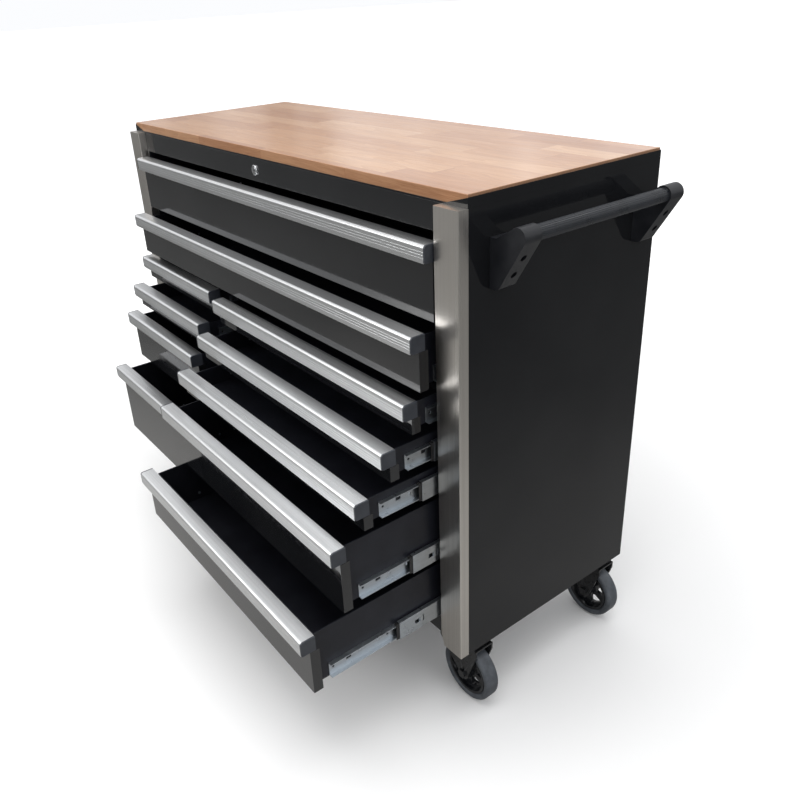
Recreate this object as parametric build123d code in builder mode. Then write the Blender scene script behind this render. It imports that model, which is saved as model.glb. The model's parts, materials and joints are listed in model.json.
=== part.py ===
"""Rolling steel workbench: a wooden top over eleven drawers on ball-bearing slides.

Units are millimetres.  +X points to the push-handle end, +Y to the back and +Z up.
The origin is on the floor, at the centre of the bounding box.  The drawers are
modelled partly open: each one's OPENING is how far it stands out at rest.
"""

import math
import os

from build123d import *

# ---- Driving dimensions ---------------------------------------------------------
WIDTH = 1168.0            # cabinet body, left side to right side
DEPTH = 424.0             # cabinet body, front of the frame to the back panel
HEIGHT = 963.0            # floor to the worktop's surface
CASTER_HEIGHT = 145.0     # floor to the underside of the body
SHEET = 1.2               # body and drawer sheet

POST_WIDTH = 52.0         # stainless corner posts
POST_DEPTH = 18.6         # how far posts and drawer fronts stand before the frame
POST_CORNER = (8.0, 28.0)  # cut from each post's lower inner corner: width, height
TOP_THICKNESS = 18.0      # butcher-block top
TRAY_RIM = 4.0            # wood standing above the tray's side walls
TRAY_LIP = 16.5           # wood showing above the tray's front lip
GUSSET_WIDTH = 42.6       # triangular corner gusset on the tray's front

FIRST_ROW = 74.0          # worktop surface down to the top drawer's pull
FINGER_GAP = 12.0         # clear height above each pull
FULL_ROWS = [132.0, 105.5]
LEFT_ROWS = [66.5, 66.5, 133.0, 191.5]
RIGHT_ROWS = [66.5, 66.5, 64.5, 135.0, 125.0]
FULL_OPENINGS = [0.0, 30.0]
LEFT_OPENINGS = [30.0, 66.0, 94.0, 151.0]
RIGHT_OPENINGS = [48.5, 94.0, 149.0, 198.0, 267.0]

DIVIDER_CENTRE = 449.5    # left side of the body to the middle of the divider
DIVIDER_WIDTH = 53.6
FRAME_INSET = 55.3        # side of the body to the face that carries the slides
FRONT_LAP = 1.3           # drawer front overlapping the frame at each side
SLIDE_THICKNESS = 12.7    # slide, from drawer side to frame
BOX_LENGTH = 390.0        # drawer box, front to back
BOX_BELOW_PULL = 9.0      # pull's top down to the box's rim
BOX_LIFT = 1.5            # front's lower edge up to the box's floor
HEM = 8.0                 # folded rim of the box sides

PULL_HEIGHT = 27.0
PULL_PROUD = 15.0         # pull's nose before the drawer front
PULL_DEPTH = 27.0
PULL_REAR_DROP = 12.0     # height of the flange behind the front
PULL_WALL = 2.0
PULL_RADIUS = 5.0
CAP_THICKNESS = 3.0

SLIDE_OVER_EDGE = 16.0    # front's lower edge up to the slide's centre line
RUNNER = {"half": 13.5, "reach": 8.5, "start": 20.0, "end": 388.0}
INNER_RAIL = {"half": 18.0, "reach": 7.8, "start": 27.0, "end": 395.0}
OUTER_RAIL = {"half": 21.5, "reach": 9.0, "start": 25.0, "end": 400.0}
INNER_RAIL_GAP = 2.4      # frame face to the middle rail's web
RAIL_SHEET = 1.2
RUNNER_SCREWS = (8.0, 120.0, 240.0, 340.0)    # from the runner's front end

HANDLE_RADIUS = 11.5
COLLAR_RADIUS = 14.5
HANDLE_REACH = 51.0       # body side to the tube's centre line
HANDLE_DROP = 58.5        # worktop surface to the tube's centre line
BRACKET_WIDTH = 33.0
BRACKET_FRONT = 41.0      # front plane of the frame to the near bracket
BRACKET_SPAN = 356.0      # outside to outside of the two brackets

WHEEL_RADIUS = 59.0
WHEEL_WIDTH = 30.0
TYRE_DEPTH = 13.0
AXLE_RADIUS = 6.0
RUNNING_CLEARANCE = 0.05
CASTER_INSET = 70.0       # side of the body to the middle of a caster's plate
CASTER_SETBACK = 40.0     # front or back of the body to the same
TRAIL = 34.0              # swivel axis to wheel axis

# ---- Places worked out from them ------------------------------------------------
NOSE = POST_DEPTH + PULL_PROUD
X_SPAN = WIDTH + HANDLE_REACH + COLLAR_RADIUS
Y_SPAN = DEPTH + NOSE + max(RIGHT_OPENINGS)
LEFT = -X_SPAN / 2
RIGHT = LEFT + WIDTH
BACK = Y_SPAN / 2
FRONT = BACK - DEPTH                    # front plane of the frame
FACE = FRONT - POST_DEPTH               # front plane of posts and closed drawers
BODY_TOP = HEIGHT - TOP_THICKNESS - SHEET
BODY_BOTTOM = CASTER_HEIGHT
ROW_TOP = HEIGHT - FIRST_ROW
ROW_BOTTOM = ROW_TOP - sum(FULL_ROWS) - sum(RIGHT_ROWS)
RAIL_BOTTOM = ROW_TOP + FINGER_GAP      # underside of the top rail
BASE_TOP = ROW_BOTTOM + FINGER_GAP - 8.0
COLUMN_TOP = ROW_TOP - sum(FULL_ROWS)   # pull height of the first short row
MIDDLE_RAIL = (COLUMN_TOP - 8.0, COLUMN_TOP + 5.5)

FRAME_LEFT = LEFT + FRAME_INSET
FRAME_RIGHT = RIGHT - FRAME_INSET
DIVIDER_LEFT = LEFT + DIVIDER_CENTRE - DIVIDER_WIDTH / 2
DIVIDER_RIGHT = DIVIDER_LEFT + DIVIDER_WIDTH
COLUMNS = {
    "full": (FRAME_LEFT, FRAME_RIGHT),
    "left": (FRAME_LEFT, DIVIDER_LEFT),
    "right": (DIVIDER_RIGHT, FRAME_RIGHT),
}


def drawer_list():
    """Every drawer as a dictionary of its place, sizes and opening."""
    drawers = []
    plan = [
        ("full", ROW_TOP, FULL_ROWS, FULL_OPENINGS),
        ("left", COLUMN_TOP, LEFT_ROWS, LEFT_OPENINGS),
        ("right", COLUMN_TOP, RIGHT_ROWS, RIGHT_OPENINGS),
    ]
    for column, top, rows, openings in plan:
        for number, (row, opening) in enumerate(zip(rows, openings), start=1):
            low, high = COLUMNS[column]
            drawers.append({
                "name": f"drawer_{column}_{number}",
                "frame": (low, high),
                "front": (low - FRONT_LAP, high + FRONT_LAP),
                "box": (low + SLIDE_THICKNESS, high - SLIDE_THICKNESS),
                "top": top,
                "bottom": top - row + FINGER_GAP,
                "opening": opening,
            })
            top -= row
    return drawers


DRAWERS = drawer_list()


# ---- Helpers --------------------------------------------------------------------
def block(x, y, z, mode=Mode.ADD):
    """Add or cut a rectangular block between three pairs of coordinates."""
    size = [abs(span[1] - span[0]) for span in (x, y, z)]
    middle = [(span[0] + span[1]) / 2 for span in (x, y, z)]
    with Locations(tuple(middle)):
        Box(*size, mode=mode)


def peg(radius, centre, length, axis="Z", mode=Mode.ADD):
    """Add or cut a round bar of the given length, centred on a point."""
    turn = {"X": (0, 90, 0), "Y": (90, 0, 0), "Z": (0, 0, 0)}[axis]
    with Locations(Location(centre, turn)):
        Cylinder(radius, length, mode=mode)


def save(pieces, label):
    """Write one piece, or a group of separate pieces, as a named node."""
    if len(pieces) == 1:
        node = pieces[0]
        node.label = label
    else:
        node = Compound(label=label, children=pieces)
    export_step(node, f"parts/{label}.step")


# ---- Worktop and its tray -------------------------------------------------------
def make_worktop():
    """Glued-up wooden slab, resting in the tray."""
    play = 0.3
    with BuildPart() as worktop:
        block((LEFT + SHEET + play, RIGHT - SHEET - play),
              (FRONT + play, BACK - SHEET - play),
              (HEIGHT - TOP_THICKNESS, HEIGHT))
        fillet(worktop.edges().group_by(Axis.Z)[-1], radius=1.0)
    save([worktop.part], "worktop")


def make_top_tray():
    """Folded tray: floor, low front lip, higher sides and back, and corner gussets."""
    floor = (BODY_TOP, BODY_TOP + SHEET)
    with BuildPart() as tray:
        block((LEFT, RIGHT), (FRONT - SHEET, BACK), (BODY_TOP, HEIGHT - TRAY_RIM))
        block((LEFT + SHEET, RIGHT - SHEET), (FRONT, BACK - SHEET),
              (floor[1], HEIGHT), mode=Mode.SUBTRACT)
        with BuildSketch(Plane.XZ.offset(-FRONT - 1)):
            with BuildLine():
                Polyline((LEFT, HEIGHT),
                         (LEFT, HEIGHT - TRAY_RIM),
                         (LEFT + GUSSET_WIDTH, HEIGHT - TRAY_LIP),
                         (RIGHT - GUSSET_WIDTH, HEIGHT - TRAY_LIP),
                         (RIGHT, HEIGHT - TRAY_RIM),
                         (RIGHT, HEIGHT),
                         close=True)
            make_face()
        extrude(amount=SHEET + 2, mode=Mode.SUBTRACT)
    save([tray.part], "top_tray")


# ---- Cabinet --------------------------------------------------------------------
def make_cabinet_shell():
    """Left side, right side and back panel."""
    panels = []
    for x in ((LEFT, LEFT + SHEET), (RIGHT - SHEET, RIGHT)):
        with BuildPart() as side:
            block(x, (FRONT, BACK), (BODY_BOTTOM, BODY_TOP))
        panels.append(side.part)
    with BuildPart() as back:
        block((LEFT + SHEET, RIGHT - SHEET), (BACK - SHEET, BACK), (BODY_BOTTOM, BODY_TOP))
    panels.append(back.part)
    save(panels, "cabinet_shell")


def make_tube(x, y, z, wall, along):
    """Rectangular tube with open ends."""
    spans = {"X": x, "Y": y, "Z": z}
    inner = {}
    for axis, (low, high) in spans.items():
        inner[axis] = (low - 1, high + 1) if axis == along else (low + wall, high - wall)
    with BuildPart() as tube:
        block(x, y, z)
        block(inner["X"], inner["Y"], inner["Z"], mode=Mode.SUBTRACT)
    return tube.part


LOCK_X = LEFT + WIDTH / 2
LOCK_Z = HEIGHT - 41.0
LOCK_BARREL = 8.0
LOCK_HOLE = LOCK_BARREL + 0.2


def make_cabinet_frame():
    """Uprights, divider, cross rails, base plate, skirts and caster channels."""
    upright_depth = 60.0
    rear_upright = 350.0
    divider_depth = 410.0
    middle_rail_depth = 22.0
    top_rail_lip = 14.0
    plate = 1.5
    channel_width = 115.0
    channel_wall = 2.0
    pieces = []
    inside = (FRAME_LEFT, FRAME_RIGHT)
    for x in ((LEFT + SHEET, FRAME_LEFT), (FRAME_RIGHT, RIGHT - SHEET)):
        for start in (FRONT, FRONT + rear_upright):
            y = (start, start + upright_depth)
            pieces.append(make_tube(x, y, (BASE_TOP, BODY_TOP), SHEET, "Z"))
    pieces.append(make_tube((DIVIDER_LEFT, DIVIDER_RIGHT), (FRONT, FRONT + divider_depth),
                            (BASE_TOP, MIDDLE_RAIL[0]), SHEET, "Z"))
    pieces.append(make_tube(inside, (FRONT, FRONT + middle_rail_depth), MIDDLE_RAIL, SHEET, "X"))

    with BuildPart() as top_rail:
        front = (FRONT - plate, FRONT)
        block((LEFT + POST_WIDTH, RIGHT - POST_WIDTH), front, (RAIL_BOTTOM, BODY_TOP))
        block(inside, (FRONT, FRONT + top_rail_lip), (RAIL_BOTTOM, RAIL_BOTTOM + SHEET))
        peg(LOCK_HOLE, (LOCK_X, FRONT, LOCK_Z), 10, "Y", mode=Mode.SUBTRACT)
    pieces.append(top_rail.part)

    with BuildPart() as base:
        block((LEFT + SHEET, RIGHT - SHEET), (FRONT, BACK - SHEET), (BASE_TOP - plate, BASE_TOP))
    pieces.append(base.part)
    for y in ((FRONT, FRONT + SHEET), (BACK - 2 * SHEET, BACK - SHEET)):
        with BuildPart() as skirt:
            block((LEFT + SHEET, RIGHT - SHEET), y, (BODY_BOTTOM, BASE_TOP - plate))
        pieces.append(skirt.part)
    for centre in (LEFT + CASTER_INSET, RIGHT - CASTER_INSET):
        x = (centre - channel_width / 2, centre + channel_width / 2)
        pieces.append(make_tube(x, (FRONT + SHEET, BACK - 2 * SHEET),
                                (BODY_BOTTOM, BASE_TOP - plate), channel_wall, "Y"))
    save(pieces, "cabinet_frame")


def make_corner_posts():
    """Folded stainless covers over the front corners, closed at the top."""
    posts = []
    cut_width, cut_height = POST_CORNER
    for outer, side in ((LEFT, 1), (RIGHT, -1)):
        inner = outer + side * POST_WIDTH
        x = (min(outer, inner), max(outer, inner))
        with BuildPart() as post:
            block(x, (FACE, FRONT), (BODY_BOTTOM, BODY_TOP))
            block((x[0] + SHEET, x[1] - SHEET), (FACE + SHEET, FRONT + 1),
                  (BODY_BOTTOM - 1, BODY_TOP - SHEET), mode=Mode.SUBTRACT)
            corners = post.edges().filter_by(Axis.Z).group_by(Axis.Y)[0]
            fillet(corners, radius=1.5)
            with BuildSketch(Plane.XZ.offset(-FRONT - 1)):
                with BuildLine():
                    Polyline((inner, BODY_BOTTOM), (inner - side * cut_width, BODY_BOTTOM),
                             (inner, BODY_BOTTOM + cut_height), close=True)
                make_face()
            extrude(amount=POST_DEPTH + 2, mode=Mode.SUBTRACT)
        posts.append(post.part)
    save(posts, "corner_posts")


def make_lock():
    """Housing fixed in the top rail, and the plug that turns in it with its cam."""
    flange = (FRONT - 4.0, FRONT - 1.5)
    bore = AXLE_RADIUS + RUNNING_CLEARANCE
    with BuildPart() as housing:
        peg(9.8, (LOCK_X, sum(flange) / 2, LOCK_Z), 2.5, "Y")
        fillet(housing.edges().group_by(Axis.Y)[0], radius=1.0)
        peg(LOCK_BARREL, (LOCK_X, FRONT + 7.25, LOCK_Z), 17.5, "Y")
        peg(bore, (LOCK_X, FRONT, LOCK_Z), 60, "Y", mode=Mode.SUBTRACT)
    save([housing.part], "lock_housing")

    nose = FRONT - 4.4
    tail = FRONT + 16.4
    with BuildPart() as plug:
        peg(AXLE_RADIUS, (LOCK_X, (nose + tail) / 2, LOCK_Z), tail - nose, "Y")
        block((LOCK_X - 4, LOCK_X + 4), (nose - 1, nose + 5), (LOCK_Z - 0.9, LOCK_Z + 0.9),
              mode=Mode.SUBTRACT)
        with BuildSketch(Plane.XZ.offset(-tail)):
            with Locations((LOCK_X + 9, LOCK_Z)):
                SlotOverall(32, 13)
        extrude(amount=-2.5)
    save([plug.part], "lock_plug")


# ---- Drawers --------------------------------------------------------------------
def make_drawer_box(drawer):
    """Folded tray with hemmed rims, and the folded front fixed to it."""
    out = drawer["opening"]
    x = drawer["box"]
    y = (FRONT - 1.0 - out, FRONT + BOX_LENGTH - out)
    z = (drawer["bottom"] + BOX_LIFT, drawer["top"] - BOX_BELOW_PULL)
    with BuildPart() as tray:
        block(x, y, z)
        block((x[0] + SHEET, x[1] - SHEET), (y[0] + SHEET, y[1] - SHEET),
              (z[0] + SHEET, z[1] + 1), mode=Mode.SUBTRACT)
        for edge in ((x[0], x[0] + 2 * SHEET), (x[1] - 2 * SHEET, x[1])):
            block(edge, y, (z[1] - HEM, z[1]))
        block(x, (y[1] - 2 * SHEET, y[1]), (z[1] - HEM, z[1]))

    x = drawer["front"]
    face = FACE - out
    back = y[0]
    bottom = drawer["bottom"]
    shoulder = drawer["top"] - PULL_HEIGHT - 0.5
    top = drawer["top"] - PULL_WALL
    with BuildPart() as front:
        block(x, (face, face + SHEET), (bottom, shoulder))
        block((x[0] + CAP_THICKNESS, x[1] - CAP_THICKNESS), (face, face + SHEET), (bottom, top))
        for edge in ((x[0], x[0] + SHEET), (x[1] - SHEET, x[1])):
            block(edge, (face, back), (bottom, shoulder))
        block(x, (face, back), (bottom, bottom + SHEET))
    save([tray.part, front.part], drawer["name"] + "_box")


def make_drawer_pull(drawer):
    """Hooked extrusion over the top of the front, with a cap on each end."""
    nose = FRONT - NOSE - drawer["opening"]
    rear = nose + PULL_DEPTH
    top = drawer["top"]
    low = top - PULL_HEIGHT
    x = drawer["front"]
    wall = PULL_WALL
    with BuildPart() as pull:
        with BuildSketch(Plane.YZ.offset(x[0] + CAP_THICKNESS)) as section:
            with BuildLine():
                Polyline((nose, low), (nose, top), (rear, top), (rear, top - PULL_REAR_DROP),
                         (rear - wall, top - PULL_REAR_DROP), (rear - wall, top - wall),
                         (nose + wall, top - wall), (nose + wall, low + wall),
                         (nose + 2.5 * wall, low + wall), (nose + 2.5 * wall, low),
                         close=True)
            make_face()
            outer = section.vertices().sort_by_distance((nose, top, 0))[0]
            inner = section.vertices().sort_by_distance((nose + wall, top - wall, 0))[0]
            fillet(outer, radius=PULL_RADIUS)
            fillet(inner, radius=PULL_RADIUS - wall)
        extrude(amount=x[1] - x[0] - 2 * CAP_THICKNESS)
        for drop in (10.0, 14.5, 19.0):
            block(x, (nose - 1, nose + 0.4), (top - drop - 0.4, top - drop + 0.4),
                  mode=Mode.SUBTRACT)

    pieces = [pull.part]
    for start in (x[0], x[1] - CAP_THICKNESS):
        with BuildPart() as cap:
            block((start, start + CAP_THICKNESS), (nose, rear), (low, top))
            along = cap.edges().filter_by(Axis.X)
            fillet(along.group_by(Axis.Y)[0].sort_by(Axis.Z)[-1], radius=PULL_RADIUS)
            along = cap.edges().filter_by(Axis.X)
            fillet(along.group_by(Axis.Z)[0].sort_by(Axis.Y)[0], radius=3.0)
        pieces.append(cap.part)
    save(pieces, drawer["name"] + "_pull")


def rail_section(web, side, shape, y, z):
    """Steel channel: a web against one plane and two flanges reaching from it."""
    back = web + side * RAIL_SHEET
    tip = web + side * shape["reach"]
    block((web, back), y, (z - shape["half"], z + shape["half"]))
    for edge in (z + shape["half"] - RAIL_SHEET, z - shape["half"]):
        block((web, tip), y, (edge, edge + RAIL_SHEET))


def slide_height(drawer):
    """Centre line of a drawer's slides."""
    return drawer["bottom"] + SLIDE_OVER_EDGE


def make_drawer_runners(drawer):
    """The two slide members screwed to the drawer's sides."""
    out = drawer["opening"]
    y = (FRONT + RUNNER["start"] - out, FRONT + RUNNER["end"] - out)
    z = slide_height(drawer)
    runners = []
    for web, side in ((drawer["box"][0], -1), (drawer["box"][1], 1)):
        with BuildPart() as runner:
            rail_section(web, side, RUNNER, y, z)
            block((web - 5, web + 5), (y[0] + 34, y[0] + 44), (z, z + 9), mode=Mode.SUBTRACT)
            for start in RUNNER_SCREWS:
                peg(2.2, (web, y[0] + start, z + 1.5), 10, "X", mode=Mode.SUBTRACT)
        runners.append(runner.part)
    save(runners, drawer["name"] + "_runners")


def make_drawer_slides(drawer):
    """The two middle members, which travel half as far as the drawer."""
    out = drawer["opening"] / 2
    y = (FRONT + INNER_RAIL["start"] - out, FRONT + INNER_RAIL["end"] - out)
    z = slide_height(drawer)
    slides = []
    for face, side in ((drawer["frame"][0], 1), (drawer["frame"][1], -1)):
        web = face + side * INNER_RAIL_GAP
        with BuildPart() as slide:
            rail_section(web, side, INNER_RAIL, y, z)
            block((web - 5, web + 5), (y[0] + 34, y[0] + 46), (z - 4, z + 4), mode=Mode.SUBTRACT)
            block((web - 5, web + 5), (y[0] + 52, y[0] + 54), (z - 7, z + 7), mode=Mode.SUBTRACT)
        slides.append(slide.part)
    save(slides, drawer["name"] + "_slides")


def make_cabinet_rails():
    """The fixed slide members of all the drawers."""
    y = (FRONT + OUTER_RAIL["start"], FRONT + OUTER_RAIL["end"])
    rails = []
    for drawer in DRAWERS:
        for face, side in ((drawer["frame"][0], 1), (drawer["frame"][1], -1)):
            with BuildPart() as rail:
                rail_section(face, side, OUTER_RAIL, y, slide_height(drawer))
            rails.append(rail.part)
    save(rails, "cabinet_rails")


# ---- Push handle ----------------------------------------------------------------
HANDLE_X = RIGHT + HANDLE_REACH
HANDLE_Z = HEIGHT - HANDLE_DROP
HANDLE_Y = (FRONT + BRACKET_FRONT, FRONT + BRACKET_FRONT + BRACKET_SPAN)
SCREW_DROPS = (32.0, 60.0)


def make_push_handle():
    """Two moulded brackets with screws, and the ribbed grip tube between them."""
    toe = 24.0
    foot = 84.0
    foot_radius = 12.0
    slope = math.radians(31.7)
    tangent_x = HANDLE_X + COLLAR_RADIUS * math.cos(slope)
    tangent_z = HANDLE_Z - COLLAR_RADIUS * math.sin(slope)
    low = HANDLE_Z - foot
    run = (tangent_z - low) * math.tan(slope)
    pieces = []
    starts = (HANDLE_Y[0], HANDLE_Y[1] - BRACKET_WIDTH)
    for start, inward in zip(starts, (1, -1)):
        middle = start + BRACKET_WIDTH / 2
        with BuildPart() as bracket:
            with BuildSketch(Plane.XZ.offset(-start)) as outline:
                with BuildLine():
                    Polyline((RIGHT, low), (tangent_x - run, low), (tangent_x, tangent_z),
                             (HANDLE_X, HANDLE_Z + COLLAR_RADIUS),
                             (HANDLE_X - 7, HANDLE_Z + COLLAR_RADIUS - 2.5),
                             (RIGHT + toe / 2, HANDLE_Z - 8), (RIGHT, HANDLE_Z - 8),
                             close=True)
                make_face()
                foot_corner = (tangent_x - run, low, 0)
                corner = outline.vertices().sort_by_distance(foot_corner)[0]
                fillet(corner, radius=foot_radius)
                with Locations((HANDLE_X, HANDLE_Z)):
                    Circle(COLLAR_RADIUS)
            extrude(amount=-BRACKET_WIDTH)
            seat = middle + inward * BRACKET_WIDTH / 2
            peg(HANDLE_RADIUS, (HANDLE_X, seat, HANDLE_Z), 2 * 14.0, "Y", mode=Mode.SUBTRACT)
            for drop in SCREW_DROPS:
                reach = (RIGHT + 8, RIGHT + 80)
                peg(5.0, (sum(reach) / 2, middle, HANDLE_Z - drop), reach[1] - reach[0], "X",
                    mode=Mode.SUBTRACT)
        pieces.append(bracket.part)
        for drop in SCREW_DROPS:
            with BuildPart() as screw:
                peg(4.6, (RIGHT + 8 + 2, middle, HANDLE_Z - drop), 4, "X")
                fillet(screw.edges().group_by(Axis.X)[-1], radius=1.5)
            pieces.append(screw.part)

    ends = (HANDLE_Y[0] + BRACKET_WIDTH - 14.0, HANDLE_Y[1] - BRACKET_WIDTH + 14.0)
    visible = (HANDLE_Y[0] + BRACKET_WIDTH + 1.0, HANDLE_Y[1] - BRACKET_WIDTH - 1.0)
    ribs = 24
    with BuildPart() as grip:
        peg(HANDLE_RADIUS, (HANDLE_X, sum(ends) / 2, HANDLE_Z), ends[1] - ends[0], "Y")
        with BuildSketch(Plane.XZ.offset(-visible[0])):
            with Locations((HANDLE_X, HANDLE_Z)):
                with PolarLocations(HANDLE_RADIUS, ribs):
                    Circle(0.55)
        extrude(amount=-(visible[1] - visible[0]), mode=Mode.SUBTRACT)
    pieces.append(grip.part)
    save(pieces, "push_handle")


# ---- Casters --------------------------------------------------------------------
CASTER_ROWS = {"front": FRONT + CASTER_SETBACK, "rear": BACK - CASTER_SETBACK}
FIXED_X = LEFT + CASTER_INSET
SWIVEL_X = RIGHT - CASTER_INSET
PLATE_SIZE = (90.0, 64.0)
PLATE_THICKNESS = 3.0
FORK_GAP = 18.0           # wheel's mid-plane to the inside of a fork leg
FORK_SHEET = 3.0
RACE_RADIUS = 27.0
CROWN_TOP = BODY_BOTTOM - PLATE_THICKNESS - 8.0
KINGPIN_RADIUS = 6.0


def wheel_axis_x(side):
    """X of a wheel's axle: a swivel caster's trails behind its swivel axis."""
    return SWIVEL_X + TRAIL if side == "right" else FIXED_X


def make_caster_plate(x, y):
    """Top plate with four bolt heads under it."""
    half_x, half_y = PLATE_SIZE[0] / 2, PLATE_SIZE[1] / 2
    z = (BODY_BOTTOM - PLATE_THICKNESS, BODY_BOTTOM)
    block((x - half_x, x + half_x), (y - half_y, y + half_y), z)
    for bolt_x in (x - half_x + 9, x + half_x - 9):
        for bolt_y in (y - half_y + 8, y + half_y - 8):
            peg(5.5, (bolt_x, bolt_y, z[0] - 2), 4)


def make_fork(x, y, span, axle_x, swivels):
    """Pressed fork: a crown over the wheel and a leg on each side of it."""
    outside = FORK_GAP + FORK_SHEET
    axle_z = WHEEL_RADIUS
    eye = 13.0
    front_drop = 24.0
    back_drop = 14.0
    with BuildPart() as fork:
        block(span, (y - outside, y + outside), (CROWN_TOP - FORK_SHEET, CROWN_TOP))
        for start in (y - outside, y + FORK_GAP):
            with BuildSketch(Plane.XZ.offset(-start)):
                with BuildLine():
                    Polyline((span[0], CROWN_TOP), (span[1], CROWN_TOP),
                             (span[1], CROWN_TOP - back_drop),
                             (axle_x + eye, axle_z), (axle_x - eye, axle_z),
                             (span[0], CROWN_TOP - front_drop), close=True)
                make_face()
                with Locations((axle_x, axle_z)):
                    Circle(eye)
            extrude(amount=-FORK_SHEET)
        if swivels:
            peg(RACE_RADIUS, (x, y, CROWN_TOP + 2), 4)
            peg(KINGPIN_RADIUS + RUNNING_CLEARANCE, (x, y, CROWN_TOP), 30, mode=Mode.SUBTRACT)
        peg(AXLE_RADIUS, (axle_x, y, axle_z), 60, "Y", mode=Mode.SUBTRACT)
    return fork.part


def make_axle(x, y):
    """Axle bolt with its head and nut outside the fork legs."""
    outside = FORK_GAP + FORK_SHEET
    with BuildPart() as axle:
        peg(AXLE_RADIUS, (x, y, WHEEL_RADIUS), 2 * outside, "Y")
        for side in (-1, 1):
            with BuildSketch(Plane.XZ.offset(-(y + side * outside))):
                with Locations((x, WHEEL_RADIUS)):
                    RegularPolygon(9.5, 6)
            extrude(amount=-side * 5)
    return axle.part


def make_caster_mounts():
    """Parts that stay with the body: all four plates, fixed forks and kingpins."""
    pieces = []
    for y in CASTER_ROWS.values():
        with BuildPart() as fixed_plate:
            make_caster_plate(FIXED_X, y)
        fork_top = BODY_BOTTOM - PLATE_THICKNESS
        with BuildPart() as spacer:
            block((FIXED_X - 30, FIXED_X + 30), (y - 15, y + 15), (CROWN_TOP, fork_top))
        fork = make_fork(FIXED_X, y, (FIXED_X - 34, FIXED_X + 34), FIXED_X, False)
        pieces += [fixed_plate.part, spacer.part, fork, make_axle(FIXED_X, y)]
        with BuildPart() as swivel_plate:
            make_caster_plate(SWIVEL_X, y)
            pin = (CROWN_TOP - FORK_SHEET - 5, BODY_BOTTOM - PLATE_THICKNESS)
            peg(KINGPIN_RADIUS, (SWIVEL_X, y, sum(pin) / 2), pin[1] - pin[0])
            peg(10, (SWIVEL_X, y, pin[0] + 2), 4)
            peg(RACE_RADIUS + 3, (SWIVEL_X, y, pin[1] - 1.2), 2.4)
        pieces.append(swivel_plate.part)
    save(pieces, "caster_mounts")


def make_swivel_fork(row):
    """The turning half of a swivel caster, with its axle."""
    y = CASTER_ROWS[row]
    axle_x = wheel_axis_x("right")
    fork = make_fork(SWIVEL_X, y, (SWIVEL_X - 28, axle_x + 34), axle_x, True)
    save([fork, make_axle(axle_x, y)], f"swivel_fork_{row}")


def make_wheel(row, side):
    """Spoked hub with a rounded rubber tyre that has a moulding ridge."""
    x = wheel_axis_x(side)
    y = CASTER_ROWS[row]
    hub_radius = WHEEL_RADIUS - TYRE_DEPTH
    rim_inside = hub_radius - 5
    half = WHEEL_WIDTH / 2
    axis = Axis((x, y, WHEEL_RADIUS), (0, 1, 0))
    with BuildPart() as tyre:
        with BuildSketch(Plane.YZ.offset(x)) as section:
            with Locations((y, WHEEL_RADIUS + hub_radius + TYRE_DEPTH / 2)):
                Rectangle(WHEEL_WIDTH, TYRE_DEPTH)
            fillet(section.vertices().group_by(Axis.Z)[-1], radius=6)
            with Locations((y, WHEEL_RADIUS * 2 - 0.7)):
                Rectangle(1.2, 1.4)
        revolve(axis=axis)
    windows = 5
    with BuildPart() as hub:
        peg(hub_radius - RUNNING_CLEARANCE, (x, y, WHEEL_RADIUS), WHEEL_WIDTH - 4, "Y")
        for start in (y - half, y + 4):
            peg(rim_inside, (x, start + half / 2 - 2, WHEEL_RADIUS), half - 4, "Y",
                mode=Mode.SUBTRACT)
        peg(14, (x, y, WHEEL_RADIUS), WHEEL_WIDTH + 3, "Y")
        with BuildSketch(Plane.XZ.offset(-(y - half))) as cut:
            with Locations((x, WHEEL_RADIUS)):
                with PolarLocations(25.5, windows, start_angle=18):
                    Trapezoid(30, 17, 62, rotation=90)
            fillet(cut.vertices(), radius=2.5)
        extrude(amount=-WHEEL_WIDTH, mode=Mode.SUBTRACT)
        peg(AXLE_RADIUS + RUNNING_CLEARANCE, (x, y, WHEEL_RADIUS), 60, "Y", mode=Mode.SUBTRACT)
    save([tyre.part, hub.part], f"wheel_{row}_{side}")


# ---- Build ----------------------------------------------------------------------
os.makedirs("parts", exist_ok=True)
make_worktop()
make_top_tray()
make_cabinet_shell()
make_cabinet_frame()
make_corner_posts()
make_lock()
for one in DRAWERS:
    make_drawer_box(one)
    make_drawer_pull(one)
    make_drawer_runners(one)
    make_drawer_slides(one)
make_cabinet_rails()
make_push_handle()
make_caster_mounts()
for caster_row in CASTER_ROWS:
    make_swivel_fork(caster_row)
    for caster_side in ("left", "right"):
        make_wheel(caster_row, caster_side)
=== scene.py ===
"""Looks of the rolling workbench: materials, small fittings, studio and camera.

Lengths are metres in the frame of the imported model: +X to the push handle, +Y to the
back, +Z up.  MM turns millimetres into metres.
"""
import json
import math

import bmesh
import bpy
from mathutils import Euler, Matrix, Vector

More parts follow.
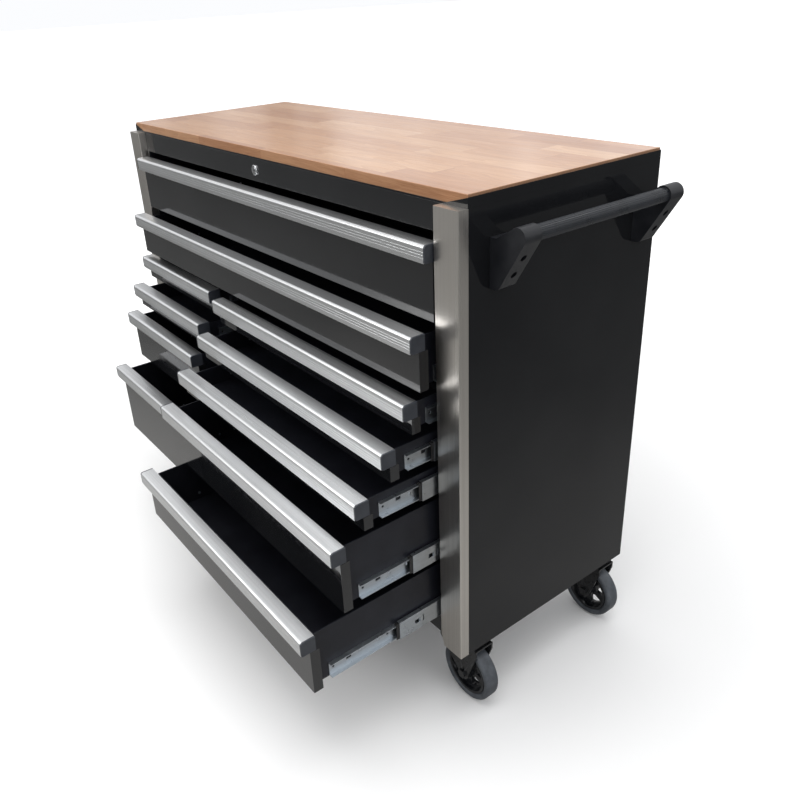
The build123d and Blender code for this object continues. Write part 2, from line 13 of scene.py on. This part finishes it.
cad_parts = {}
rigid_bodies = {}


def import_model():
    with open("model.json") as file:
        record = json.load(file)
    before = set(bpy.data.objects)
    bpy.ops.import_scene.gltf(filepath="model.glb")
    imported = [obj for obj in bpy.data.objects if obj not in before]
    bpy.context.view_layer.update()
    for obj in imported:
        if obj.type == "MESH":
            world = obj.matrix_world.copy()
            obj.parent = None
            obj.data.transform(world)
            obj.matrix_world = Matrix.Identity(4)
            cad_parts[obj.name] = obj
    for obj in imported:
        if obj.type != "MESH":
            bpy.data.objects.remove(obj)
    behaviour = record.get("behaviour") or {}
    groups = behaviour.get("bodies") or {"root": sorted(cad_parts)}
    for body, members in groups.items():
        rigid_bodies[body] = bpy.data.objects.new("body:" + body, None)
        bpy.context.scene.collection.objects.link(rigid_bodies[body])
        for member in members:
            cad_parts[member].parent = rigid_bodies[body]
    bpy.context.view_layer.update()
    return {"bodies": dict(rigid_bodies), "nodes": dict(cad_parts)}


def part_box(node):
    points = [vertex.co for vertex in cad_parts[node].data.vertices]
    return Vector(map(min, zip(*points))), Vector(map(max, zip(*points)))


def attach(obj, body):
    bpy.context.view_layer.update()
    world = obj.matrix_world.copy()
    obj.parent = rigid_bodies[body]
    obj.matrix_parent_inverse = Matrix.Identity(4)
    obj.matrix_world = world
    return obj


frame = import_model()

MM = 0.001
NODES = frame["nodes"]
DRAWERS = sorted(name for name in frame["bodies"]
                 if name.startswith("drawer_") and not name.endswith("_midslides"))

# ---- Reference planes of the cabinet, from its posts ------------------------------
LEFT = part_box("corner_posts")[0].x
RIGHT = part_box("corner_posts")[1].x
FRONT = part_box("corner_posts")[1].y
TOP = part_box("worktop")[1].z


# ---- Camera -----------------------------------------------------------------------
def make_camera():
    """Eye-height view from the front right corner."""
    data = bpy.data.cameras.new("camera")
    data.sensor_width = 36.0
    data.lens = 35.22
    data.shift_x = 0.037
    data.shift_y = -0.0401
    data.clip_end = 100.0
    camera = bpy.data.objects.new("camera", data)
    camera.location = (LEFT + 1.9270, FRONT - 0.7149, 1.2073)
    camera.rotation_euler = Euler([math.radians(a) for a in (64.607, 3.124, 53.150)], "XYZ")
    bpy.context.scene.collection.objects.link(camera)
    bpy.context.scene.camera = camera


# ---- Material helpers -------------------------------------------------------------
class Look:
    """A Principled material and short ways to add nodes to it."""

    def __init__(self, name, **sockets):
        self.material = bpy.data.materials.new(name)
        self.material.use_nodes = True
        self.tree = self.material.node_tree
        self.shader = self.tree.nodes["Principled BSDF"]
        for key, value in sockets.items():
            self.shader.inputs[key.replace("_", " ")].default_value = value

    def node(self, kind, settings=None, **inputs):
        """Add a node; an input is given by name, or as i0, i1 and so on by number."""
        made = self.tree.nodes.new("ShaderNode" + kind)
        for key, value in (settings or {}).items():
            setattr(made, key, value)
        for key, value in inputs.items():
            numbered = key[0] == "i" and key[1:].isdigit()
            socket = made.inputs[int(key[1:])] if numbered else made.inputs[key]
            self.feed(socket, value)
        return made

    def feed(self, socket, value):
        """Link an output to a socket, or set the socket's value."""
        if isinstance(value, bpy.types.NodeSocket):
            self.tree.links.new(value, socket)
        else:
            socket.default_value = value

    def place(self):
        """Coordinates that stay with the piece."""
        return self.node("TexCoord").outputs["Object"]

    def stretched(self, scale, vector=None):
        """Coordinates scaled by three factors."""
        return self.node("Mapping", Vector=vector or self.place(), Scale=scale).outputs[0]

    def noise(self, scale, vector=None, detail=3.0, roughness=0.5):
        """Noise between 0 and 1, mostly near one half."""
        found = self.node("TexNoise", Vector=vector or self.place(), Scale=scale,
                          Detail=detail, Roughness=roughness)
        return found.outputs["Fac"]

    def math(self, operation, first, second=0.0):
        """One arithmetic step."""
        return self.node("Math", {"operation": operation}, i0=first, i1=second).outputs[0]

    def spread(self, value, low, high, start=0.35, end=0.65):
        """Map a value from one range to another, clamped."""
        made = self.node("MapRange", Value=value, i1=start, i2=end, i3=low, i4=high)
        return made.outputs[0]

    def ramp(self, value, stops):
        """Colour ramp through (position, colour) stops."""
        made = self.node("ValToRGB", Fac=value)
        points = made.color_ramp.elements
        while len(points) < len(stops):
            points.new(0.5)
        for point, (position, colour) in zip(points, stops):
            point.position = position
            point.color = (*colour, 1.0)
        return made.outputs["Color"]

    def mix(self, amount, first, second, blend="MIX"):
        """Mix two colours."""
        made = self.node("Mix", {"data_type": "RGBA", "blend_type": blend},
                         i0=amount, i6=first, i7=second)
        return made.outputs[2]

    def colour(self, value):
        self.feed(self.shader.inputs["Base Color"], value)

    def roughness(self, value):
        self.feed(self.shader.inputs["Roughness"], value)

    def bump(self, height, strength, distance=MM):
        """Relief from a height value; several calls stack."""
        made = self.node("Bump", Height=height, Strength=strength, Distance=distance)
        link = self.shader.inputs["Normal"].links
        if link:
            self.feed(made.inputs["Normal"], link[0].from_socket)
        self.feed(self.shader.inputs["Normal"], made.outputs["Normal"])


def rgb(*values):
    """Colour with full alpha."""
    return (*values, 1.0)


# ---- Materials --------------------------------------------------------------------
def varnished_wood():
    """Glued staves along X, each with its own tone and grain, under gloss varnish."""
    stave_width = 0.047
    stave_length = 0.31
    look = Look("varnished_wood", Coat_Weight=0.60, Coat_Roughness=0.06, Specular_IOR_Level=0.22)
    place = look.place()
    axes = look.node("SeparateXYZ", i0=place)
    across = look.math("DIVIDE", axes.outputs["Y"], stave_width)
    row = look.math("FLOOR", across)
    shift = look.node("TexWhiteNoise", {"noise_dimensions": "1D"}, W=row).outputs["Value"]
    along = look.math("ADD", look.math("DIVIDE", axes.outputs["X"], stave_length),
                      look.math("MULTIPLY", shift, 7.3))
    wander = look.node("CombineXYZ", X=along, Y=look.math("MULTIPLY", row, 5.7))
    wander = look.noise(1.1, wander.outputs[0], detail=0.0)
    along = look.math("ADD", along, wander)
    column = look.math("FLOOR", along)
    cell = look.node("CombineXYZ", X=column, Y=row).outputs[0]
    stave = look.node("TexWhiteNoise", {"noise_dimensions": "2D"}, Vector=cell)
    offset = look.node("VectorMath", {"operation": "SCALE"}, i0=stave.outputs["Color"], Scale=4.0)
    grain_place = look.node("VectorMath", {"operation": "ADD"}, i0=place, i1=offset.outputs[0])
    grain_place = grain_place.outputs[0]

    fibres = look.noise(1.0, look.stretched((14.0, 620.0, 620.0), grain_place), detail=4.0)
    pores = look.noise(1.0, look.stretched((55.0, 1500.0, 1500.0), grain_place), detail=2.0)
    figure = look.noise(1.0, look.stretched((2.3, 17.0, 17.0), grain_place), detail=2.0)
    rings = look.math("FRACT", look.math("MULTIPLY", figure, 11.0))
    rings = look.spread(rings, 0.0, 1.0, 0.0, 0.85)
    broad = look.noise(1.0, look.stretched((3.0, 22.0, 22.0), grain_place), detail=1.0)

    tone = look.math("ADD", look.math("MULTIPLY", stave.outputs["Value"], 0.62),
                     look.math("MULTIPLY", broad, 0.40))
    wood = look.ramp(tone, [(0.06, (0.36, 0.168, 0.078)), (0.30, (0.460, 0.242, 0.126)),
                            (0.62, (0.530, 0.305, 0.168)), (0.95, (0.610, 0.385, 0.232))])
    dark = rgb(0.60, 0.47, 0.37)
    wood = look.mix(look.math("MULTIPLY", rings, 0.26), wood, dark, "MULTIPLY")
    wood = look.mix(look.spread(fibres, 0.42, 0.0, 0.36, 0.60), wood, dark, "MULTIPLY")
    wood = look.mix(look.spread(pores, 0.55, 0.0, 0.30, 0.42), wood, dark, "MULTIPLY")

    edge = look.math("ABSOLUTE", look.math("SUBTRACT", look.math("FRACT", across), 0.5))
    joint = look.math("GREATER_THAN", edge, 0.489)
    end = look.math("ABSOLUTE", look.math("SUBTRACT", look.math("FRACT", along), 0.5))
    joint = look.math("MAXIMUM", joint, look.math("GREATER_THAN", end, 0.4982))
    wood = look.mix(look.math("MULTIPLY", joint, 0.45), wood, dark, "MULTIPLY")

    facing = look.node("SeparateXYZ", i0=look.node("NewGeometry").outputs["Normal"])
    end_face = look.math("GREATER_THAN", look.math("ABSOLUTE", facing.outputs["X"]), 0.6)
    speckle = look.noise(1.0, look.stretched((900.0, 900.0, 900.0)), detail=3.0)
    end_wood = look.ramp(speckle, [(0.35, (0.19, 0.095, 0.052)), (0.65, (0.36, 0.20, 0.115))])
    wood = look.mix(look.math("MULTIPLY", end_face, 0.85), wood, end_wood)
    look.colour(wood)
    look.roughness(look.spread(fibres, 0.34, 0.50))
    look.bump(fibres, 0.10, 0.3 * MM)
    look.bump(look.noise(5.0, detail=1.0), 0.05, 2.0 * MM)
    return look.material


def gloss_paint(name="gloss_black_paint", roughness=0.08, specular=0.5, coat=0.4):
    """Gloss powder coat with a faint orange peel and slow waves of the sheet."""
    look = Look(name, Coat_Weight=coat, Coat_Roughness=0.03, Specular_IOR_Level=specular)
    cloud = look.noise(6.0, detail=2.0)
    look.colour(look.ramp(cloud, [(0.3, (0.0075, 0.008, 0.0095)), (0.7, (0.0125, 0.013, 0.0145))]))
    look.roughness(look.spread(look.noise(90.0, detail=4.0), roughness - 0.03, roughness + 0.06))
    look.bump(look.noise(750.0, detail=1.0), 0.05, 0.1 * MM)
    look.bump(look.noise(3.5, detail=1.0), 0.10, 1.6 * MM)
    return look.material


def satin_paint():
    """The duller black of drawer insides and of the frame behind them."""
    look = Look("satin_black_paint", Specular_IOR_Level=0.30)
    cloud = look.noise(20.0, detail=3.0)
    look.colour(look.ramp(cloud, [(0.3, (0.0085, 0.0090, 0.0130)),
                                  (0.7, (0.0150, 0.0160, 0.0220))]))
    look.roughness(look.spread(look.noise(160.0, detail=3.0), 0.30, 0.42))
    look.bump(look.noise(1300.0, detail=1.0), 0.12, 0.1 * MM)
    return look.material


def drawn_metal(name, colour, tint, along, low, high, contrast=0.07):
    """Metal with fine lines along one axis, in tone, roughness and relief."""
    look = Look(name, Metallic=1.0)
    fine = [1700.0, 1700.0, 1700.0]
    coarse = [260.0, 260.0, 260.0]
    fine["XYZ".index(along)] = 2.2
    coarse["XYZ".index(along)] = 0.9
    lines = look.noise(1.0, look.stretched(fine), detail=4.0, roughness=0.65)
    bands = look.noise(1.0, look.stretched(coarse), detail=3.0)
    smudge = look.noise(9.0, detail=3.0)
    dark = [value * (1.0 - 2.2 * contrast) for value in colour]
    tone = look.math("ADD", look.math("MULTIPLY", lines, 0.55), look.math("MULTIPLY", bands, 0.45))
    metal = look.ramp(tone, [(0.30, dark), (0.50, colour), (0.68, tint)])
    look.colour(look.mix(look.spread(smudge, 0.0, 0.22, 0.45, 0.75), metal, rgb(*dark)))
    look.roughness(look.spread(tone, high, low, 0.35, 0.65))
    look.bump(lines, 0.10, 0.06 * MM)
    return look.material


def zinc_steel():
    """Bright zinc plate with blotches and rolling marks."""
    look = Look("zinc_steel", Metallic=1.0)
    blotch = look.noise(70.0, detail=5.0, roughness=0.6)
    marks = look.noise(1.0, look.stretched((900.0, 12.0, 900.0)), detail=3.0)
    tone = look.math("ADD", look.math("MULTIPLY", blotch, 0.4), look.math("MULTIPLY", marks, 0.6))
    look.colour(look.ramp(tone, [(0.30, (0.45, 0.485, 0.52)), (0.50, (0.53, 0.57, 0.61)),
                                 (0.70, (0.60, 0.64, 0.68))]))
    look.roughness(look.spread(blotch, 0.27, 0.36))
    look.bump(marks, 0.08, 0.08 * MM)
    return look.material


def chrome():
    """Polished plate of the lock, with fine wear."""
    look = Look("chrome", Metallic=1.0)
    wear = look.noise(420.0, detail=5.0)
    look.colour(look.ramp(wear, [(0.35, (0.62, 0.63, 0.65)), (0.6, (0.86, 0.87, 0.88))]))
    look.roughness(look.spread(wear, 0.06, 0.16))
    return look.material


def moulded_plastic(name, low, high, roughness, grain=0.22, specular=0.5):
    """Plastic with a fine moulded grain and slight rubbing on it."""
    look = Look(name, Specular_IOR_Level=specular)
    cloud = look.noise(38.0, detail=4.0)
    look.colour(look.ramp(cloud, [(0.32, low), (0.68, high)]))
    look.roughness(look.spread(cloud, roughness - 0.05, roughness + 0.08))
    look.bump(look.noise(1500.0, detail=2.0), grain, 0.12 * MM)
    return look.material


def black_steel():
    """Baked black finish of the casters, greyer where it is rubbed."""
    look = Look("black_steel", Coat_Weight=0.35, Coat_Roughness=0.12)
    rubbed = look.noise(85.0, detail=6.0, roughness=0.6)
    look.colour(look.ramp(rubbed, [(0.35, (0.006, 0.0065, 0.0075)), (0.60, (0.013, 0.0135, 0.015)),
                                   (0.76, (0.045, 0.046, 0.049))]))
    look.roughness(look.spread(rubbed, 0.22, 0.38))
    look.bump(look.noise(900.0, detail=2.0), 0.10, 0.1 * MM)
    return look.material


def tyre_rubber():
    """Dark grey rubber with a dusty bloom and turning marks."""
    look = Look("tyre_rubber", Specular_IOR_Level=0.45)
    dust = look.noise(60.0, detail=6.0, roughness=0.62)
    look.colour(look.ramp(dust, [(0.35, (0.048, 0.054, 0.064)), (0.60, (0.084, 0.094, 0.108)),
                                 (0.78, (0.130, 0.137, 0.146))]))
    look.roughness(look.spread(dust, 0.36, 0.60))
    look.bump(look.noise(700.0, detail=3.0), 0.18, 0.15 * MM)
    return look.material


PAINT = gloss_paint()
PANEL_PAINT = gloss_paint("gloss_black_panel", roughness=0.07, specular=0.27, coat=0.1)
SATIN = satin_paint()
WOOD = varnished_wood()
PULL_METAL = drawn_metal("anodised_aluminium", (0.80, 0.81, 0.82), (0.88, 0.89, 0.91),
                         "X", 0.27, 0.36)
STAINLESS = drawn_metal("stainless", (0.70, 0.667, 0.625), (0.78, 0.75, 0.71), "Z", 0.26, 0.36)
ZINC = zinc_steel()
CHROME = chrome()
CAP_PLASTIC = moulded_plastic("cap_plastic", (0.030, 0.034, 0.043), (0.046, 0.051, 0.062), 0.36)
HANDLE_PLASTIC = moulded_plastic("handle_plastic", (0.009, 0.010, 0.013),
                                 (0.017, 0.018, 0.022), 0.40)
GRIP_PLASTIC = moulded_plastic("grip_plastic", (0.012, 0.014, 0.018), (0.022, 0.025, 0.031), 0.30)
CAGE_PLASTIC = moulded_plastic("cage_plastic", (0.010, 0.010, 0.011), (0.02, 0.02, 0.021), 0.42)
BLACK_STEEL = black_steel()
HUB_PLASTIC = moulded_plastic("hub_plastic", (0.008, 0.009, 0.011),
                              (0.016, 0.017, 0.020), 0.16, 0.05)
RUBBER = tyre_rubber()


# ---- Finishing the CAD nodes ------------------------------------------------------
def dress(name, materials, choose=None, edge=0.35):
    """Give a node its materials, chosen face by face, and soften its edges."""
    piece = NODES[name]
    mesh = piece.data
    mesh.materials.clear()
    for material in materials:
        mesh.materials.append(material)
    for face in mesh.polygons:
        face.material_index = choose(face.center) if choose else 0
    if edge:
        soften(piece, edge)


def soften(piece, edge):
    """Round the sharp edges by that many millimetres and shade the rest flat."""
    weld = piece.modifiers.new("weld", "WELD")
    weld.merge_threshold = 0.00001
    bevel = piece.modifiers.new("bevel", "BEVEL")
    bevel.width = edge * MM
    bevel.segments = 2
    bevel.limit_method = "ANGLE"
    bevel.angle_limit = math.radians(35)
    shade = piece.modifiers.new("shade", "WEIGHTED_NORMAL")
    shade.weight = 100


def dress_cabinet():
    """Worktop, tray, panels, frame, posts and lock."""
    dress("worktop", [WOOD], edge=0)
    dress("top_tray", [PANEL_PAINT])
    dress("cabinet_shell", [PANEL_PAINT], edge=0.6)
    front = FRONT + 1.3 * MM
    dress("cabinet_frame", [PAINT, SATIN], lambda at: 0 if at.y < front else 1)
    dress("corner_posts", [STAINLESS])
    dress("lock_housing", [CHROME])
    dress("lock_plug", [CHROME], edge=0.2)
    dress("cabinet_rails", [ZINC], edge=0.25)


def dress_drawer(name):
    """Front and tray, pull with its end caps, and slides."""
    front_depth = 17.5 * MM
    cap = 3.0 * MM - 0.00001
    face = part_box(name + "_box")[0].y + front_depth
    dress(name + "_box", [PAINT, SATIN], lambda at: 0 if at.y < face else 1)
    low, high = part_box(name + "_pull")
    dress(name + "_pull", [PULL_METAL, CAP_PLASTIC],
          lambda at: int(at.x < low.x + cap or at.x > high.x - cap), edge=0.4)
    dress(name + "_runners", [ZINC], edge=0.25)
    dress(name + "_slides", [ZINC], edge=0.25)


def dress_handle():
    """Moulded brackets, the screws in them and the grip."""
    low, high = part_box("push_handle")
    collar = 14.5 * MM
    grip_radius = 11.6 * MM
    bracket = 33.2 * MM
    axis_x = high.x - collar
    axis_z = high.z - collar
    screw_depth = (7.9 * MM, 12.1 * MM)

    def choose(at):
        if math.hypot(at.x - axis_x, at.z - axis_z) < grip_radius:
            if low.y + bracket < at.y < high.y - bracket:
                return 1
        if screw_depth[0] < at.x - low.x < screw_depth[1]:
            for drop in (32.0, 60.0):
                for middle in (low.y + 16.5 * MM, high.y - 16.5 * MM):
                    if math.hypot(at.y - middle, at.z - axis_z + drop * MM) < 4.75 * MM:
                        return 2
        return 0

    dress("push_handle", [HANDLE_PLASTIC, GRIP_PLASTIC, ZINC], choose, edge=0.6)


def dress_casters():
    """Plates, forks, tyres and hubs."""
    dress("caster_mounts", [BLACK_STEEL], edge=0.5)
    for row in ("front", "rear"):
        dress("swivel_fork_" + row, [BLACK_STEEL], edge=0.5)
        for side in ("left", "right"):
            name = f"wheel_{row}_{side}"
            low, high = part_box(name)
            centre = (low + high) / 2
            rim = 45.98 * MM
            dress(name, [RUBBER, HUB_PLASTIC],
                  lambda at: int(math.hypot(at.x - centre.x, at.z - centre.z) < rim), edge=0.5)


# ---- Mesh helpers for the small fittings ------------------------------------------
def finish_piece(name, mesh_data, materials, body):
    """Turn a bmesh into a smooth-shaded object that rides on a body."""
    mesh = bpy.data.meshes.new(name)
    mesh_data.to_mesh(mesh)
    mesh_data.free()
    for material in materials:
        mesh.materials.append(material)
    piece = bpy.data.objects.new(name, mesh)
    bpy.context.scene.collection.objects.link(piece)
    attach(piece, body)
    return piece


def add_block(shape, low, high, material=0):
    """Add a box between two corners."""
    corners = [Vector((x, y, z)) for x in (low[0], high[0]) for y in (low[1], high[1])
               for z in (low[2], high[2])]
    made = [shape.verts.new(corner) for corner in corners]
    sides = ((0, 1, 3, 2), (4, 6, 7, 5), (0, 4, 5, 1), (2, 3, 7, 6), (0, 2, 6, 4), (1, 5, 7, 3))
    for ring in sides:
        face = shape.faces.new([made[i] for i in ring])
        face.material_index = material


def add_ball(shape, centre, radius, material=0):
    """Add a smooth ball."""
    made = bmesh.ops.create_icosphere(shape, subdivisions=2, radius=radius,
                                      matrix=Matrix.Translation(centre))
    for face in {face for vert in made["verts"] for face in vert.link_faces}:
        face.smooth = True
        face.material_index = material


def add_turned(shape, profile, origin, axis, steps=20, material=0):
    """Add a closed turned solid: (radius, height) pairs from its foot to its crown."""
    turn = Vector((0, 0, 1)).rotation_difference(Vector(axis)).to_matrix().to_4x4()
    turn = Matrix.Translation(origin) @ turn
    rings = []
    for radius, height in profile:
        if radius == 0:
            rings.append([shape.verts.new(turn @ Vector((0, 0, height)))])
            continue
        ring = []
        for step in range(steps):
            angle = 2 * math.pi * step / steps
            at = Vector((radius * math.cos(angle), radius * math.sin(angle), height))
            ring.append(shape.verts.new(turn @ at))
        rings.append(ring)
    faces = [shape.faces.new(rings[0][::-1])] if len(rings[0]) > 1 else []
    for lower, upper in zip(rings, rings[1:]):
        for step in range(steps):
            after = (step + 1) % steps
            if len(upper) == 1:
                corners = [lower[step], lower[after], upper[0]]
            else:
                corners = [lower[step], lower[after], upper[after], upper[step]]
            faces.append(shape.faces.new(corners))
    for face in faces[1:]:
        face.smooth = True
    for face in faces:
        face.material_index = material


def domed_head(radius, height):
    """Profile of a rivet or screw head with a low dome."""
    dome = [(radius, 0.0), (radius, 0.25 * height)]
    for step in range(1, 5):
        angle = math.radians(22.5 * step)
        dome.append((radius * math.cos(angle) if step < 4 else 0.0,
                     height * (0.25 + 0.75 * math.sin(angle))))
    return dome


# ---- Small fittings ---------------------------------------------------------------
def make_ball_cages(drawer):
    """Ladder cages with their balls and plastic ends, between runner and middle rail."""
    sheet = 1.2 * MM
    cage = 0.40 * MM
    track = 15.15 * MM
    ball_radius = 1.6 * MM
    reach = (0.15 * MM, 5.6 * MM)
    run = (4.0 * MM, 172.0 * MM)
    pitch = 13.0 * MM
    low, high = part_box(drawer + "_slides")
    middle = (low.z + high.z) / 2
    shape = bmesh.new()
    for web, side in ((low.x + sheet, 1), (high.x - sheet, -1)):
        def x_at(distance):
            return web + side * distance

        def block(near, far, y, z, material=0):
            xs = sorted((x_at(near), x_at(far)))
            add_block(shape, (xs[0], y[0], z[0]), (xs[1], y[1], z[1]), material)

        start = low.y + run[0]
        end = low.y + run[1]
        for level in (-1, 1):
            strip = sorted((middle + level * 9.0 * MM, middle + level * 16.3 * MM))
            block(reach[0], reach[0] + cage, (start, end), strip)
            ledge = middle + level * track
            block(reach[0] + cage, reach[1], (start, end), (ledge - cage, ledge + cage))
            balls = int((end - start) / pitch)
            for number in range(balls):
                at = (x_at(3.4 * MM), start + (number + 0.6) * pitch, ledge)
                add_ball(shape, at, ball_radius, 0)
            lip = sorted((middle + level * 13.85 * MM, middle + level * 16.5 * MM))
            block(reach[0], 5.9 * MM, (low.y - 6.0 * MM, low.y + 3.9 * MM), lip, 1)
        for number in range(5):
            rung = start + number * (end - start - 8 * MM) / 4
            block(reach[0], reach[0] + cage, (rung, rung + 8 * MM),
                  (middle - 9.0 * MM, middle + 9.0 * MM))
        block(reach[0], reach[0] + cage, (low.y - 6.0 * MM, low.y + 3.9 * MM),
              (middle - 13.85 * MM, middle + 13.85 * MM), 1)
    finish_piece(drawer + "_ball_cages", shape, [ZINC, CAGE_PLASTIC],
                 drawer + "_midslides")


def make_drawer_rivets(drawer):
    """Rivets that hold the runners, seen in the runner and inside the drawer."""
    shape = bmesh.new()
    low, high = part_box(drawer + "_runners")
    reach = 8.5 * MM
    sheet = 1.2 * MM
    middle = (low.z + high.z) / 2
    for outer, side in ((low.x, 1), (high.x, -1)):
        plane = outer + side * reach
        for distance in (62.0, 100.0, 205.0, 300.0, 352.0):
            y = low.y + distance * MM
            z = middle + 1.0 * MM
            outside = (plane - side * sheet, y, z)
            add_turned(shape, domed_head(3.1 * MM, 1.3 * MM), outside, (-side, 0, 0))
            inside = (plane + side * sheet, y, z)
            add_turned(shape, domed_head(3.4 * MM, 1.1 * MM), inside, (side, 0, 0))
    finish_piece(drawer + "_rivets", shape, [ZINC], drawer)


def make_race_balls(row):
    """Ring of balls between the caster's plate and its fork."""
    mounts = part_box("caster_mounts")
    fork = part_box("swivel_fork_" + row)
    shape = bmesh.new()
    middle = Vector((fork[0].x + 28.0 * MM, (fork[0].y + fork[1].y) / 2, 0))
    height = mounts[1].z - 6.2 * MM
    count = 18
    for number in range(count):
        angle = 2 * math.pi * number / count
        radius = 24.5 * MM
        at = middle + Vector((radius * math.cos(angle), radius * math.sin(angle), height))
        add_ball(shape, at, 2.6 * MM)
    finish_piece(f"race_balls_{row}", shape, [ZINC], "swivel_" + row)


# ---- Studio -----------------------------------------------------------------------
def make_floor():
    """Wide pale floor that fades to white, and throws back less light than it shows."""
    dim_from, dim_to = 0.8, 1.7          # metres from the middle: what it throws dims
    fade_from, fade_to = 0.9, 3.0        # and what is seen of it fades to white
    fade_strength = 0.45
    below_wheels = -0.0005
    look = Look("studio_floor", Roughness=0.9, Specular_IOR_Level=0.1)
    seen = look.node("LightPath").outputs["Is Camera Ray"]
    distance = look.node("VectorMath", {"operation": "LENGTH"}, i0=look.place()).outputs["Value"]
    far = look.spread(distance, 0.0, 1.0, dim_from, dim_to)
    thrown = look.mix(far, rgb(0.40, 0.395, 0.385), rgb(0.18, 0.18, 0.176))
    look.colour(look.mix(seen, thrown, rgb(0.96, 0.96, 0.96)))
    fade = look.spread(distance, 0.0, fade_strength, fade_from, fade_to)
    fade = look.math("MULTIPLY", seen, fade)
    look.shader.inputs["Emission Color"].default_value = rgb(1.0, 1.0, 1.0)
    look.feed(look.shader.inputs["Emission Strength"], fade)
    shape = bmesh.new()
    size = 90.0
    for x, y in ((-size, -size), (size, -size), (size, size), (-size, size)):
        shape.verts.new((x, y, below_wheels))
    shape.faces.new(shape.verts)
    mesh = bpy.data.meshes.new("floor")
    shape.to_mesh(mesh)
    shape.free()
    mesh.materials.append(look.material)
    floor = bpy.data.objects.new("floor", mesh)
    bpy.context.scene.collection.objects.link(floor)


def make_softbox(name, place, target, size, power, colour=(1, 1, 1)):
    """Rectangular area light aimed at a point."""
    data = bpy.data.lights.new(name, "AREA")
    data.shape = "RECTANGLE"
    data.size, data.size_y = size
    data.energy = power
    data.color = colour
    light = bpy.data.objects.new(name, data)
    light.location = place
    aim = Vector(target) - Vector(place)
    light.rotation_euler = aim.to_track_quat("-Z", "Y").to_euler()
    bpy.context.scene.collection.objects.link(light)


def make_lights():
    """Near-white surroundings with soft upright bands in what they throw, and softboxes."""
    band_noise = (0.35, 0.65)
    band_strength = (0.30, 1.35)
    world = bpy.data.worlds.new("studio")
    bpy.context.scene.world = world
    world.use_nodes = True
    tree = world.node_tree
    background = tree.nodes["Background"]
    place = tree.nodes.new("ShaderNodeTexCoord")
    axes = tree.nodes.new("ShaderNodeSeparateXYZ")
    tree.links.new(place.outputs["Generated"], axes.inputs[0])
    ramp = tree.nodes.new("ShaderNodeValToRGB")
    stops = ramp.color_ramp.elements
    stops[0].position, stops[0].color = 0.0, rgb(0.97, 0.98, 1.0)
    stops[1].position, stops[1].color = 0.9, rgb(1.0, 1.0, 1.0)
    tree.links.new(axes.outputs["Z"], ramp.inputs["Fac"])
    tree.links.new(ramp.outputs["Color"], background.inputs["Color"])
    stretch = tree.nodes.new("ShaderNodeMapping")
    stretch.inputs["Scale"].default_value = (4.0, 4.0, 0.6)
    tree.links.new(place.outputs["Generated"], stretch.inputs["Vector"])
    bands = tree.nodes.new("ShaderNodeTexNoise")
    bands.inputs["Scale"].default_value = 1.6
    bands.inputs["Detail"].default_value = 2.0
    tree.links.new(stretch.outputs["Vector"], bands.inputs["Vector"])
    lift = tree.nodes.new("ShaderNodeMapRange")
    limits = ("From Min", "From Max", "To Min", "To Max")
    for socket, value in zip(limits, band_noise + band_strength):
        lift.inputs[socket].default_value = value
    tree.links.new(bands.outputs["Fac"], lift.inputs["Value"])
    path = tree.nodes.new("ShaderNodeLightPath")
    strength = tree.nodes.new("ShaderNodeMix")
    strength.inputs[3].default_value = 1.0
    tree.links.new(path.outputs["Is Camera Ray"], strength.inputs[0])
    tree.links.new(lift.outputs["Result"], strength.inputs[2])
    tree.links.new(strength.outputs[0], background.inputs["Strength"])

    middle = (0.0, 0.0, 0.5)
    make_softbox("overhead", (0.2, -0.4, 3.0), middle, (2.6, 2.0), 45.0)
    make_softbox("front_left", (-1.6, -2.6, 2.0), middle, (1.6, 1.4), 26.0, (1.0, 0.99, 0.97))
    make_softbox("right", (2.8, 0.2, 1.9), middle, (1.2, 1.6), 10.0, (0.97, 0.98, 1.0))


# ---- Build ------------------------------------------------------------------------
make_camera()
make_floor()
make_lights()
dress_cabinet()
dress_handle()
dress_casters()
for drawer_name in DRAWERS:
    dress_drawer(drawer_name)
    make_ball_cages(drawer_name)
    make_drawer_rivets(drawer_name)
for caster_row in ("front", "rear"):
    make_race_balls(caster_row)
bpy.context.scene.view_settings.view_transform = "Standard"
